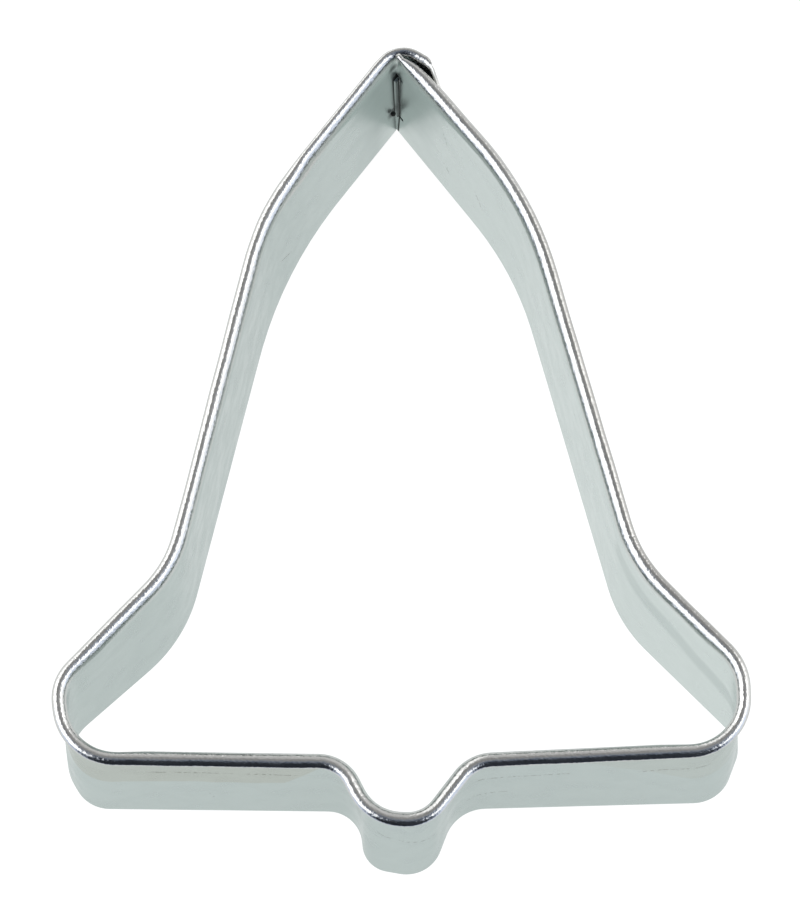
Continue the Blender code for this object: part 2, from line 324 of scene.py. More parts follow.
def bend_points(before, here, after, reach, steps):
    """Points and directions of an eased bend at every height.

    The heading turns by the eased share of the whole turn, and the points are the running sum of the
    heading. The bend is as long as keeps its middle where a round one of that reach has it.
    """
    start = here - before
    end = after - here
    first = np.arctan2(start[:, 1], start[:, 0])
    turn = (np.arctan2(end[:, 1], end[:, 0]) - first + math.pi) % (2 * math.pi) - math.pi
    parts = steps * SUMMED_PARTS
    share = np.linspace(0, 1, parts + 1)
    heading = first[:, None] + turn[:, None] * eased(share)[None]
    middle = (heading[:, 1:] + heading[:, :-1]) / 2
    way = np.stack([np.cos(middle), np.sin(middle)], axis=-1) / parts
    path = np.concatenate([np.zeros((len(here), 1, 2)), np.cumsum(way, axis=1)], axis=1)
    half = np.abs(turn) / 2
    chord = np.linalg.norm(path[:, -1], axis=1)
    sag = np.linalg.norm(path[:, parts // 2] - path[:, -1] / 2, axis=1)
    unit_reach = chord / (2 * np.cos(half))
    unit_gap = unit_reach * np.sin(half) - sag
    scale = reach * np.tan(half / 2) / np.maximum(unit_gap, NEARLY_NOTHING)
    scale = np.maximum(scale, SHORTEST_REACH / unit_reach)
    origin = here - unit(start) * (scale * unit_reach)[:, None]
    points = origin[:, None] + path[:, ::SUMMED_PARTS] * scale[:, None, None]
    heading = heading[:, ::SUMMED_PARTS]
    return points, np.stack([np.cos(heading), np.sin(heading)], axis=-1)


def strip_stations(heights):
    """Points (levels, stations, 2) and outward directions from tab to flap.

    Bends are eased, and between them the stations go in even steps along the straight run, with one more
    beside each free end. Each corner's first and last station come with them.
    """
    places, radii = corner_levels(heights)
    count = places.shape[1]
    reaches = bend_reaches(places, radii)
    bends = []
    for k in range(count):
        here = places[:, k]
        if radii[0, k] == 0:
            runs = [unit(places[:, i + 1] - places[:, i]) for i in (k - 1, k) if 0 <= i < count - 1]
            bends.append((here[:, None], unit(sum(runs))[:, None]))
        else:
            start = unit(here - places[:, k - 1])
            end = unit(places[:, k + 1] - here)
            angle = np.arccos(np.clip(np.sum(start * end, axis=1), -1, 1)).max()
            steps = max(FEWEST_BEND_STEPS, 2 * math.ceil(angle / BEND_STEP))
            bends.append(bend_points(places[:, k - 1], here, places[:, k + 1], reaches[:, k], steps))
    points, ways, marks = [], [], []
    total = 0
    for k, (bend, way) in enumerate(bends):
        marks.append((total, total + bend.shape[1] - 1))
        points.append(bend)
        ways.append(way)
        total += bend.shape[1]
        if k + 1 < count:
            start = bend[:, -1:]
            end = bends[k + 1][0][:, :1]
            length = np.linalg.norm(end - start, axis=-1).max()
            edge = END_STEP / length
            by_seam = k < TAB_CORNERS or k >= count + LEFT_SHOULDER
            steps = max(2, math.ceil(length / (SEAM_STEP if by_seam else WALL_STEP)))
            share = np.linspace(0, 1, steps + 1)[1:-1]
            if k == 0:
                share = np.concatenate([[edge], share])
            if k == count - 2:
                share = np.concatenate([share, [1 - edge]])
            points.append(start + (end - start) * share[None, :, None])
            ways.append(np.repeat(unit(end - start), len(share), axis=1))
            total += len(share)
    points = np.concatenate(points, axis=1)
    ways = np.concatenate(ways, axis=1)
    # Above and below the tab the right wall ends square, close to the left wall
    square = (heights < TAB_BOTTOM - NOTCH_HEIGHT / 2) | (heights > LAP_TOP + NOTCH_HEIGHT / 2)
    first, last = marks[TAB_FOLD]
    right = ways[square, last]
    left = unit(points[square, 0] - points[square, first])
    apart = np.abs(right[:, :1] * left[:, 1:] - right[:, 1:] * left[:, :1])
    end = points[square, last]
    start = places[square, TAB_FOLD] - right * (SHEET / 2 + LAP_GAP - END_GAP) / apart
    share = np.linspace(0, 1, last + 1)[None, :, None]
    points[square, :last + 1] = start[:, None] + (end - start)[:, None] * share
    ways[square, :last + 1] = right[:, None]
    return points, outward_of(ways), marks


# Rolled rim and sheet


def rim_along(path, marks, bead):
    """Width and turn of the bead along the rim, and the shares of its three profiles.

    It grows from a tip beside the seam, as one minus a falling exponential of the distance, and narrows in
    straight steps over the fold to the flap's end. The profile changes in straight steps at the left
    shoulder and at the lips.
    """
    steps = np.linalg.norm(np.diff(path, axis=0), axis=1)
    run = np.concatenate([[0], np.cumsum(steps)])
    grown = bead - (bead - TIP_BEAD) * np.exp(-np.maximum(run - TIP_LENGTH, 0) / TIP_GROWTH)
    fold, bead_end, kink, end = [run[(first + last) // 2] for first, last in marks[FLAP_CORNERS]]
    spots = [fold - FOLD_TAPER, fold, bead_end, kink, end]
    narrowed = np.interp(run, spots, [bead, FOLD_BEAD, FLAP_BEAD, KINK_BEAD, TAIL_BEAD])
    spots = [0, TIP_LENGTH + TIP_GROWTH, bead_end, kink, end]
    turns = np.interp(run, spots, [TIP_TURN, BEAD_TURN, BEAD_TURN, KINK_TURN, FLAP_END_TURN])
    shoulder = run[marks[LEFT_SHOULDER][1]]
    pressed = np.interp(run, [shoulder - CHANGE_RUN / 2, shoulder + CHANGE_RUN / 2], [0, 1])
    drawn = np.zeros_like(run)
    for start, end in LIP_RUNS:
        start, end = run[marks[start][0]], run[marks[end][1]]
        drawn += np.interp(run, [start - CHANGE_RUN, start, end, end + CHANGE_RUN], [0, 1, 1, 0])
    return np.minimum(grown, narrowed), turns, np.stack([1 - pressed - drawn, pressed, drawn])


def roll_profiles():
    """The full bead's middle line for each profile: its angles of turn, and how far out and up it is there.

    Its radius falls from wide to tight as a bell curve of the turned angle, and the line is the running sum
    of radius times sine outward and radius times cosine upward.
    """
    angle = np.linspace(0, BEAD_TURN, PROFILE_STEPS)
    radius = ROLL_RADII[:, :1] + ROLL_RADII[:, 1:] * np.exp(-(angle / ROLL_FLARE_TURN) ** 2)
    middle = (angle[1:] + angle[:-1]) / 2
    mean = (radius[:, 1:] + radius[:, :-1]) / 2 * np.diff(angle)
    out = np.pad(np.cumsum(mean * np.sin(middle), axis=1), ((0, 0), (1, 0)))
    up = np.pad(np.cumsum(mean * np.cos(middle), axis=1), ((0, 0), (1, 0)))
    return angle, out, up


def ripples(along, up):
    """Slow waves of the hand-bent wall, about minus one to one: the sum of slanted sines."""
    waves = [np.sin(along / length + up / rise + offset) * share for length, rise, offset, share in RIPPLES]
    return sum(waves)


def sheet_grid(settings):
    """The middle of the sheet as a grid of rows by stations, in the CAD model's frame.

    Wall rows are the outline at rising heights, moved in by the roll's flare so that the bead keeps the CAD
    model's outer line. Bead rows carry the roll's profile outward and upward along the strip, mixed by the
    shares of its profiles and scaled to the local bead. Returns points (rows, stations, 3), the length
    along and up the strip, the wall rows' heights and the corners' stations.
    """
    angle, out, up = roll_profiles()
    top = (settings.height - settings.sheet / 2) / MM - up[0].max()
    notches = [TAB_BOTTOM - NOTCH_HEIGHT, TAB_BOTTOM, LAP_TOP, LAP_TOP + NOTCH_HEIGHT]
    heights = np.array([*FOOT_ROWS, *notches[:2], *TAB_ROWS, *notches[2:], *TOP_ROWS, top])
    flat, outward, marks = strip_stations(heights)
    beads, turns, shares = rim_along(flat[-1], marks, settings.bead / MM)
    size = (beads - SHEET) / (BEAD - SHEET)
    share = heights / RIM_LEVEL
    inset = out.max(axis=1) @ shares - (BEAD - SHEET)
    # Where less of the sheet is rolled in, the wall stands taller and the bead's top stays level
    spare = up[0].max() - size * (up.max(axis=1) @ shares)
    taller = np.clip((heights - notches[-1]) / (top - notches[-1]), 0, 1)
    rows = heights[:, None] + taller[:, None] * spare[None]
    flat = flat - outward * (share[:, None] * (inset * size)[None])[..., None]
    steps = np.linalg.norm(np.diff(flat[0], axis=0), axis=1)
    along = np.concatenate([[0], np.cumsum(steps)])
    free = np.sin(np.pi * np.clip(share, 0, 1))[:, None] ** RIPPLE_RISE
    wave = ripples(along[None], heights[:, None]) * free
    flat = flat + outward * (wave * settings.ripple / MM)[..., None]
    wall = np.concatenate([flat, rows[..., None]], axis=2)
    roll = np.linspace(0, 1, settings.roll_steps + 1)[1:, None] * turns[None]
    reach = sum(share * np.interp(roll, angle, line) for share, line in zip(shares, out))
    lift = sum(share * np.interp(roll, angle, line) for share, line in zip(shares, up))
    uneven = 1 + BEAD_RIPPLE * ripples(along[None] * BEAD_WAVES, 0.0)
    curl = flat[-1][None] + outward[-1][None] * (reach * size * uneven)[..., None]
    bead = np.concatenate([curl, (top + spare + lift * size)[..., None]], axis=2)
    points = np.concatenate([wall, bead], axis=0)
    steps = np.linalg.norm(np.diff(points, axis=0), axis=2)
    climb = np.concatenate([np.zeros((1, points.shape[1])), np.cumsum(steps, axis=0)])
    points[..., :2] -= BELL_MIDDLE
    return points, np.broadcast_to(along, climb.shape), climb, heights, marks


def kept_cells(shape, heights, marks):
    """Which cells of the grid are sheet: the right end is notched above and below the tab."""
    on_bead = np.full(shape[0] - len(heights), BAND_HEIGHT)
    middles = np.concatenate([(heights[1:] + heights[:-1]) / 2, on_bead])
    notched = np.abs(middles - TAB_BOTTOM + NOTCH_HEIGHT / 2) < NOTCH_HEIGHT / 2
    notched |= np.abs(middles - LAP_TOP - NOTCH_HEIGHT / 2) < NOTCH_HEIGHT / 2
    return np.arange(shape[1] - 1)[None] >= np.where(notched, marks[NOTCH_END][0], 0)[:, None]


def thick_sheet(points, cells, thickness, cuts):
    """Vertices and faces of a sheet of even thickness round its middle surface.

    The normal is the cross product of the grid's two gradients, worked out between cuts of the rows. Two
    shells lie half the thickness to either side along it, thinner where the sheet was sheared, and each
    open edge of the outer shell is joined to the inner one. Each vertex's place in the shells' grids comes
    with them.
    """
    along = np.gradient(points, axis=1)
    up = np.concatenate([np.gradient(block, axis=0) for block in np.split(points, cuts)])
    normal = unit(np.cross(up, along))
    half = np.full(points.shape[:2], thickness / 2)
    half[0] *= SHEARED_SHARE
    half[:, -1] *= SHEARED_SHARE
    shells = np.stack([points + normal * half[..., None], points - normal * half[..., None]])
    rows, across = points.shape[:2]
    corner = np.flatnonzero(cells.ravel())
    corner = corner // (across - 1) * across + corner % (across - 1)
    quads = np.stack([corner, corner + across, corner + across + 1, corner + 1], axis=1)
    starts = quads.ravel()
    ends = np.roll(quads, -1, axis=1).ravel()
    size = rows * across
    open_edge = ~np.isin(starts * size + ends, ends * size + starts)
    p = starts[open_edge]
    q = ends[open_edge]
    rims = np.stack([q, p, p + size, q + size], axis=1)
    faces = np.concatenate([quads, quads[:, ::-1] + size, rims])
    used, faces = np.unique(faces, return_inverse=True)
    return shells.reshape(-1, 3)[used], faces.reshape(-1, 4), used


def mesh_piece(name, points, faces, material):
    """A mesh object at the origin from points in millimetres and quads, smooth up to the sharp angle."""
    mesh = bpy.data.meshes.new(name)
    mesh.from_pydata((points * MM).tolist(), [], faces.tolist())
    mesh.validate()
    mesh.shade_smooth()
    mesh.set_sharp_from_angle(angle=SHARP_ANGLE)
    mesh.materials.append(material)
    piece = bpy.data.objects.new(name, mesh)
    bpy.context.scene.collection.objects.link(piece)
    return piece


# Finishes

# A soft start and end for the nodes that map one range to another
SOFT = {"interpolation_type": "SMOOTHSTEP"}
# Shares of a line's width and of a spot's reach that are fully marked, and of a line's length that fades
LINE_CORE = 0.3
SPOT_CORE = 0.25
LINE_FADE = 0.06
# How far a crease fades below its foot and above its head
CREASE_FADES = (0.6, 0.4)

# Real sizes of the patterns: rolling lines by length and distance apart, blotches of the tin, and the dots
# of a scuff
GRAIN = (6.667, 0.1111)
BLOTCH = 2.857
SCUFF_DOT = 0.3846
# Orange peel of the stretched rim. The real one's 0.1 mm is too fine to show, so it is drawn coarser
PEEL = 0.2857
# Waves of the oil film's edge, blotches and grit of the spot welds, and grit of the tack weld
FILM_WAVE = 6.25
HEAT_BLOTCH = 1.111
PRESSED_GRIT = 0.3333
BURNT_GRIT = 0.1667

# Along and up the strip in millimetres, from the tab's free edge and the foot: where a mask starts, and
# where it is full
BEAD_LEVELS = (18.8, 19.8)
# Painted sheen inside the right walls fades out between these places along
SHEEN_END = (78.0, 68.0)
# Painted shade on the outer half of the right bead: where it starts and ends along, and its levels up
BEAD_SHADE_START = (17.0, 21.0)
BEAD_SHADE_END = (72.0, 65.0)
BEAD_SHADE_LEVELS = (20.1, 20.4)
FILM_START = (70.0, 76.0)
FILM_END = (150.0, 143.0)
FILM_THIN = (90.0, 110.0)
# The film's lower edge at its two ends: two places along, and its height at each
FILM_EDGE_LEFT = (120.5, 116.0, 9.7, 16.0)
FILM_EDGE_RIGHT = (77.0, 87.0, 8.6, 15.0)
# How far that edge wanders up and down, and from where below it to where above it the film fades in
FILM_WANDER = 0.8
FILM_FADE = (-0.1, 0.35)

# Depth in millimetres from the cutter's middle towards the apex: where a mask starts and where it is full
BLURRED_WALLS = (28.0, 34.0)
# Painted shade in the seam fades in between these depths
SHADED_SEAM = (34.4, 35.2)
# Painted sheen: the tin is painted brighter towards the apex in two steps: start, end and share of each
APEX_SHEEN = ((20.0, 31.0, 0.45), (33.4, 35.8, 0.55))

# Lines on the strip: the place along and up where each starts and ends, its half width and its bow
# The first line is a band of painted shade across the painted sheen inside the right walls
SHADE_BAND = ((50.0, 15.6), (70.5, 9.2), 2.6, 0.6)
OUTER_SCUFFS = (
    ((119.0, 12.4), (134.0, 12.9), 0.22, 0.3),
    ((88.0, 11.6), (98.0, 10.4), 0.18, 0.3),
    ((94.0, 6.2), (98.4, 4.8), 0.16, 0.2),
    ((75.5, 12.2), (82.0, 11.2), 0.18, 0.0),
    ((102.8, 8.4), (109.8, 11.3), 0.12, 0.5),
)
INNER_SCUFFS = (
    ((7.1, 14.9), (7.9, 12.6), 0.3, 0.2),
    ((7.3, 6.8), (8.3, 5.4), 0.3, 0.0),
    ((12.0, 9.0), (13.4, 6.0), 0.25, 0.0),
    ((195.0, 8.0), (197.4, 5.4), 0.25, 0.0),
)
# Specks by middle and reach: along, up, and the side of the sheet, which is 1000 outside and 0 inside
OUTER_SPECKS = (
    ((127.7, 6.0, 1000.0), (0.2, 0.2, 500.0)),
    ((127.3, 4.9, 1000.0), (0.16, 0.16, 500.0)),
)
# Painted shade by the seam, and a dark spot: round spots by middle and reach, the first a dark spot round
# the tack weld and the second painted shade under the left bead by the apex, and a line of painted shade up
# the tab and the gap at its free edge, by its two places (x, z) and half width
DARK_SPOTS = (((-0.8, 35.8, 6.4), (0.8, 1.6, 1.7)), ((-1.0, 35.9, 18.2), (0.9, 0.9, 1.2)))
TAB_GAP_SHADE = ((-0.47, 4.9), (-0.58, 15.2), 0.42)
# Painted shade in the two folds of the seam
FOLD_SHADES = (((-0.16, 4.8), (-0.28, 15.0), 0.15), ((-0.3, 0.3), (-0.18, 4.6), 0.1))

# How strongly each mark shows where it is full. The first two are painted shade, the last one is painted
# shade in the folds, and the one before it is painted shade by the seam with a dark spot by the tack weld
SHADE_BAND_SHARE = 0.7
BEAD_SHADE_SHARE = 0.35
THIN_FILM_SHARE = 0.45
SCUFF_SHARE = 0.5
DARK_GAP_AND_SPOT_SHARE = 0.65
FOLD_SHADE_SHARE = 0.85

# The values of a noise between which it fades from none to full: a patch, the dots of a scuff, the colours
# that heat left and the grit of the burnt weld
PATCHES = (0.3, 0.7)
DOTS = (0.42, 0.6)
HEAT_COLOURS = (0.35, 0.7)
CRUST = (0.4, 0.7)

# Roughness of the tin from blotch to blotch, and what marks, the blurred walls by the apex and the stretched
# bead add to it
TIN_ROUGHNESS = (0.2, 0.28)
SCUFF_ROUGHNESS = 0.12
SEAM_MARK_ROUGHNESS = 0.5
BLURRED_ROUGHNESS = 0.1
BEAD_ROUGHNESS = -0.06
# Height of the rolling lines, and how many times as high the orange peel stands
GRAIN_HEIGHT = 0.0014
PEEL_TIMES = 30.0
# Tin at a grazing angle is a little greyer than a clean mirror
GRAZING_TINT = (0.72, 0.76, 0.75)
# Roughness and height of the grit of the spot welds and of the tack weld
PRESSED_ROUGHNESS = (0.38, 0.55)
PRESSED_HEIGHT = 0.01
BURNT_ROUGHNESS = 0.85
BURNT_HEIGHT = 0.03


def add_node(tree, kind, *values, inputs=None, **settings):
    """Add a node with its settings, and set or link its inputs.

    The values go to the inputs in use, in their order, and more may follow by name: a noise takes a place,
    a scale, its detail and its roughness, and a mapped range takes a value, its two ends and what they
    become. A node given as a value stands for its first output in use.
    """
    node = tree.nodes.new("ShaderNode" + kind)
    for name, value in settings.items():
        setattr(node, name, value)
    in_use = [socket for socket in node.inputs if socket.enabled]
    named = [(node.inputs[name], value) for name, value in (inputs or {}).items()]
    for socket, value in [*zip(in_use, values), *named]:
        if isinstance(value, bpy.types.Node):
            value = next(output for output in value.outputs if output.enabled)
        if isinstance(value, bpy.types.NodeSocket):
            tree.links.new(value, socket)
        elif socket.type == "RGBA":
            socket.default_value = (*value, 1.0)
        else:
            socket.default_value = value
    return node


def new_finish(name):
    """An empty node material, and the function that adds nodes to it."""
    material = bpy.data.materials.new(name)
    material.use_nodes = True
    material.node_tree.nodes.clear()
    return material, partial(add_node, material.node_tree)


def in_metres(lengths):
    """Millimetres as the nodes take them."""
    return tuple(length * MM for length in lengths)


def scale_of(size):
    """Scale of a pattern whose forms are so many millimetres apart."""
    return 1 / (size * MM)


def joined(add, operation, *values):
    """Values joined one by one: a product holds where all of them do, and a maximum where any does."""
    result = values[0]
    for value in values[1:]:
        result = add("Math", result, value, operation=operation)
    return result


def stain(add, place, middle, reach):
    """A soft round spot: one in its middle, falling to nothing at its reach on each axis."""
    offset = add("VectorMath", place, in_metres(middle), operation="SUBTRACT")
    offset = add("VectorMath", offset, in_metres(reach), operation="DIVIDE")
    return add("MapRange", add("VectorMath", offset, operation="LENGTH"), 1.0, SPOT_CORE, **SOFT)


def soft_line(add, value, middle, width):
    """One near the middle value, falling to nothing at the width on either side of it."""
    off = add("Math", value, middle, operation="SUBTRACT")
    off = add("Math", off, operation="ABSOLUTE")
    return add("MapRange", off, width * MM, width * LINE_CORE * MM, **SOFT)


def stroke(add, along, up, start, end, width, bow):
    """A thin line between two places on the strip, bowed upward in its middle and fading out at its ends.

    Its height is the straight line's plus four times the bow, times the share of the way, times the rest.
    """
    share = add("MapRange", along, start[0] * MM, end[0] * MM)
    rest = add("Math", 1.0, share, operation="SUBTRACT")
    level = add("MapRange", share, 0.0, 1.0, start[1] * MM, end[1] * MM)
    arch = add("Math", share, rest, operation="MULTIPLY")
    level = add("Math", arch, 4 * bow * MM, level, operation="MULTIPLY_ADD")
    ends = add("MapRange", add("Math", share, rest, operation="MINIMUM"), 0.0, LINE_FADE, **SOFT)
    return add("Math", soft_line(add, up, level, width), ends, operation="MULTIPLY")


def crease(add, x, z, low, high, width):
    """A soft upright line beside the seam, from one place (x, z) to a higher one."""
    middle = add("MapRange", z, low[1] * MM, high[1] * MM, low[0] * MM, high[0] * MM)
    below, above = CREASE_FADES
    foot = add("MapRange", z, (low[1] - below) * MM, low[1] * MM, **SOFT)
    head = add("MapRange", z, (high[1] + above) * MM, high[1] * MM, **SOFT)
    return joined(add, "MULTIPLY", soft_line(add, x, middle, width), foot, head)


def painted_wall_sheen(add, along, up, y, inside, on_wall):
    """Painted sheen: the right walls' inside is painted brighter but for a band of painted shade, and the
    walls near the apex are painted brighter too.
    """
    band = stroke(add, along, up, *SHADE_BAND)
    outside_shade_band = add("Math", band, -SHADE_BAND_SHARE, 1.0, operation="MULTIPLY_ADD")
    right = add("MapRange", along, *in_metres(SHEEN_END), **SOFT)
    right = joined(add, "MULTIPLY", right, inside, outside_shade_band)
    steps = [
        add("MapRange", y, start * MM, end * MM, 0.0, share, **SOFT)
        for start, end, share in APEX_SHEEN]
    apex = joined(add, "ADD", *steps)
    return add("Math", joined(add, "MAXIMUM", right, apex), on_wall, operation="MULTIPLY")


def painted_bead_shade(add, along, up, inside):
    """Painted shade: a darker colour on the outer half of the right bead."""
    return joined(add, "MULTIPLY", inside,
                  add("MapRange", along, *in_metres(BEAD_SHADE_START), **SOFT),
                  add("MapRange", along, *in_metres(BEAD_SHADE_END), **SOFT),
                  add("MapRange", up, *in_metres(BEAD_SHADE_LEVELS), **SOFT), BEAD_SHADE_SHARE)


def oil_film(add, strip, along, up, outside):
    """Oil left under the rim along the lips: its lower edge climbs at both ends and wanders up and down."""
    wander = add("TexNoise", strip, scale_of(FILM_WAVE), 2.0, 0.5)
    wander = add("Math", wander, 2 * FILM_WANDER * MM, -FILM_WANDER * MM, operation="MULTIPLY_ADD")
    left = add("MapRange", along, *in_metres(FILM_EDGE_LEFT))
    right = add("MapRange", along, *in_metres(FILM_EDGE_RIGHT))
    edge = add("Math", add("Math", left, right, operation="MINIMUM"), wander, operation="ADD")
    above = add("Math", up, edge, operation="SUBTRACT")
    return joined(add, "MULTIPLY", outside,
                  add("MapRange", above, *in_metres(FILM_FADE), **SOFT),
                  add("MapRange", along, *in_metres(FILM_START), **SOFT),
                  add("MapRange", along, *in_metres(FILM_END), **SOFT),
                  add("MapRange", along, *in_metres(FILM_THIN), THIN_FILM_SHARE, 1.0, **SOFT))


def handling_marks(add, strip, along, up, side, inside):
    """Scuffs and a few specks, broken into dots."""
    specks = [stain(add, strip, *speck) for speck in OUTER_SPECKS]
    outer = joined(add, "MAXIMUM", *[stroke(add, along, up, *scuff) for scuff in OUTER_SCUFFS], *specks)
    inner = joined(add, "MAXIMUM", *[stroke(add, along, up, *scuff) for scuff in INNER_SCUFFS])
    outer = add("Math", outer, side, operation="MULTIPLY")
    scuffs = add("Math", inner, inside, outer, operation="MULTIPLY_ADD")
    dots = add("TexNoise", strip, scale_of(SCUFF_DOT), 1.0, 0.5)
    dots = add("MapRange", dots, *DOTS, **SOFT)
    return add("Math", scuffs, dots, operation="MULTIPLY")


def painted_seam_shade(add, place, x, y, z, inside):
    """A dark spot round the tack weld, painted shade under the left bead by the apex and in the gap up the
    tab, and painted shade in the folds beside it.
    """
    spots = [stain(add, place, *spot) for spot in DARK_SPOTS]
    dark_gap_and_spots = joined(add, "MAXIMUM", crease(add, x, z, *TAB_GAP_SHADE), *spots)
    seam_shade_mask = joined(add, "MAXIMUM", *[crease(add, x, z, *fold) for fold in FOLD_SHADES])
    dark_gap_and_spots = add("Math", dark_gap_and_spots, DARK_GAP_AND_SPOT_SHARE, operation="MULTIPLY")
    seam_shade_mask = add("Math", seam_shade_mask, FOLD_SHADE_SHARE, operation="MULTIPLY")
    near = add("MapRange", y, *in_metres(SHADED_SEAM), **SOFT)
    return joined(add, "MULTIPLY", joined(add, "MAXIMUM", dark_gap_and_spots, seam_shade_mask), near, inside)


def tinplate(settings):
    """Bright cold-rolled tinplate: a soft mirror, drawn into fine lines along the strip by the rolls."""
    material, add = new_finish("bright rolled tinplate")
    strip = add("Attribute", attribute_name="strip").outputs["Vector"]
    along, up, side = add("SeparateXYZ", strip).outputs
    place = add("TexCoord").outputs["Object"]
    x, y, z = add("SeparateXYZ", place).outputs
    inside = add("Math", 1.0, side, operation="SUBTRACT")
    on_bead = add("MapRange", up, *in_metres(BEAD_LEVELS), **SOFT)
    on_wall = add("Math", 1.0, on_bead, operation="SUBTRACT")
    lines = add("VectorMath", strip, (*map(scale_of, GRAIN), 0.0), operation="MULTIPLY")
    grain = add("TexNoise", lines, 1.0, 3.0, 0.6)
    blotch = add("TexNoise", strip, scale_of(BLOTCH), 3.0, 0.55)
    peel = add("TexNoise", place, scale_of(PEEL), 2.0, 0.6)
    scuffs = handling_marks(add, strip, along, up, side, inside)
    seam_shade_mask = painted_seam_shade(add, place, x, y, z, inside)
    film = oil_film(add, strip, along, up, add("Math", side, on_wall, operation="MULTIPLY"))
    # Painted sheen: the right walls' inside and the walls by the apex are painted brighter
    painted_sheen = painted_wall_sheen(add, along, up, y, inside, on_wall)
    colour = add("Mix", painted_sheen, settings.sheet, settings.bright, data_type="RGBA")
    layers = (
        (on_bead, settings.rim),
        # Painted shade on the outer half of the right bead
        (painted_bead_shade(add, along, up, inside), settings.outer_bead_shade_colour),
        (film, settings.warm),
        (add("Math", scuffs, SCUFF_SHARE, operation="MULTIPLY"), settings.scuffed),
        # Painted shade in the seam's gaps and folds and under the left bead, and a dark spot by the tack
        # weld
        (seam_shade_mask, settings.seam_shade_colour),
    )
    for share, layer in layers:
        colour = add("Mix", share, colour, layer, data_type="RGBA")
    rough = add("MapRange", blotch, *PATCHES, *TIN_ROUGHNESS, **SOFT)
    near = add("MapRange", y, *in_metres(BLURRED_WALLS), **SOFT)
    blurred = add("Math", near, on_wall, operation="MULTIPLY")
    additions = (
        (scuffs, SCUFF_ROUGHNESS), (seam_shade_mask, SEAM_MARK_ROUGHNESS),
        (blurred, BLURRED_ROUGHNESS), (on_bead, BEAD_ROUGHNESS),
    )
    for share, more in additions:
        rough = add("Math", share, more, rough, operation="MULTIPLY_ADD")
    peel = add("Math", peel, on_bead, operation="MULTIPLY")
    height = add("Math", peel, PEEL_TIMES, grain, operation="MULTIPLY_ADD")
    bump = add("Bump", inputs={"Height": height, "Strength": 1.0, "Distance": GRAIN_HEIGHT * MM})
    shader = add("BsdfPrincipled", inputs={
        "Base Color": colour, "Metallic": 1.0, "Roughness": rough, "Normal": bump,
        "Specular Tint": GRAZING_TINT})
    add("OutputMaterial", shader)
    return material


def pressed_weld(settings):
    """Steel flattened by an electrode: dull and gritty, with blotches that the heat left."""
    material, add = new_finish("pressed spot weld")
    place = add("TexCoord").outputs["Object"]
    grit = add("TexNoise", place, scale_of(PRESSED_GRIT), 3.0, 0.6)
    blotch = add("TexNoise", place, scale_of(HEAT_BLOTCH), 2.0, 0.5)
    heat = add("MapRange", blotch, *HEAT_COLOURS, **SOFT)
    colour = add("Mix", heat, settings.weld, settings.tempered, data_type="RGBA")
    rough = add("MapRange", grit, *PATCHES, *PRESSED_ROUGHNESS, **SOFT)
    bump = add("Bump", inputs={"Height": grit, "Strength": 0.5, "Distance": PRESSED_HEIGHT * MM})
    shader = add("BsdfPrincipled", inputs={
        "Base Color": colour, "Metallic": 1.0, "Roughness": rough, "Normal": bump})
    add("OutputMaterial", shader)
    return material


def burnt_weld(settings):
    """A bead of weld left as it cooled: oxidised, nearly black, with grit like cast iron's."""
    material, add = new_finish("burnt weld bead")
    place = add("TexCoord").outputs["Object"]
    grit = add("TexNoise", place, scale_of(BURNT_GRIT), 3.0, 0.6)
    crust = add("MapRange", grit, *CRUST, **SOFT)
    colour = add("Mix", crust, settings.burnt, settings.crust, data_type="RGBA")
    bump = add("Bump", inputs={"Height": grit, "Strength": 0.8, "Distance": BURNT_HEIGHT * MM})
    shader = add("BsdfPrincipled", inputs={
        "Base Color": colour, "Metallic": 0.0, "Roughness": BURNT_ROUGHNESS, "Normal": bump})
    add("OutputMaterial", shader)
    return material


# Stage

# Where the soft boxes fade by lean, the turn from overhead to the right in radians, and by depth, from -1
# at the front to 1 at the back: two places and the light's share at each
LEFT_BOX = (
    ("lean", -0.4, -0.62, 0.0, 1.0),
    ("lean", -1.15, -1.5, 1.0, 0.4),
    ("depth", 0.55, 0.75, 1.0, 0.45),
)
RIGHT_BOX = (
    ("lean", 0.5, 0.75, 0.0, 1.0),
    ("lean", 0.85, 1.2, 1.0, 0.42),
    ("depth", 0.72, 0.52, 0.0, 1.0),
)
# By depth: the boxes' front end, the light added at the back, the shade at the front, and the end of the
# dusk's colour
BOXES_FRONT = (-0.8, -0.5, 0.0, 1.0)
BACK_LIGHT = (0.45, 0.85, 0.0, 0.35)
FRONT_SHADE = (0.1, -0.72, 1.0, 0.1)
DUSK_END = (-0.4, 0.3, 0.0, 1.0)
# The gap overhead brightens evenly to the right
OVERHEAD_SLOPE = (-0.4, 0.4, 0.65, 1.15)
# The paper's own white for the camera, and how much of it mixes with the lit paper
PAPER_WHITE = 1.12
PAPER_SHARE = 0.88

# The floor's reach left and right, and to the front and back
FLOOR_SIDES = (-300.0, 300.0)
FLOOR_ENDS = (-46.0, 400.0)
# The camera has a long lens and stands 72 degrees above the table
CAMERA_PLACE = (-0.1359, -305.4014, 952.7347)
CAMERA_TILT = math.radians(18)
CAMERA_LENS = 426.6
CAMERA_SENSOR = 36.0
CAMERA_NEAREST = 0.01


def floor_paper(settings):
    """Plain white paper: lit, with part of its white kept for the camera, reflections and refraction."""
    material, add = new_finish("white paper")
    path = add("LightPath").outputs
    seen = add("Math", path["Is Camera Ray"], path["Is Glossy Ray"], operation="ADD", use_clamp=True)
    seen = add("Math", seen, path["Is Transmission Ray"], operation="ADD", use_clamp=True)
    paper = add("BsdfDiffuse", settings.floor)
    plain = add("Emission", settings.floor, PAPER_WHITE)
    share = add("Math", seen, PAPER_SHARE, operation="MULTIPLY")
    add("OutputMaterial", add("MixShader", share, paper, plain))
    return material


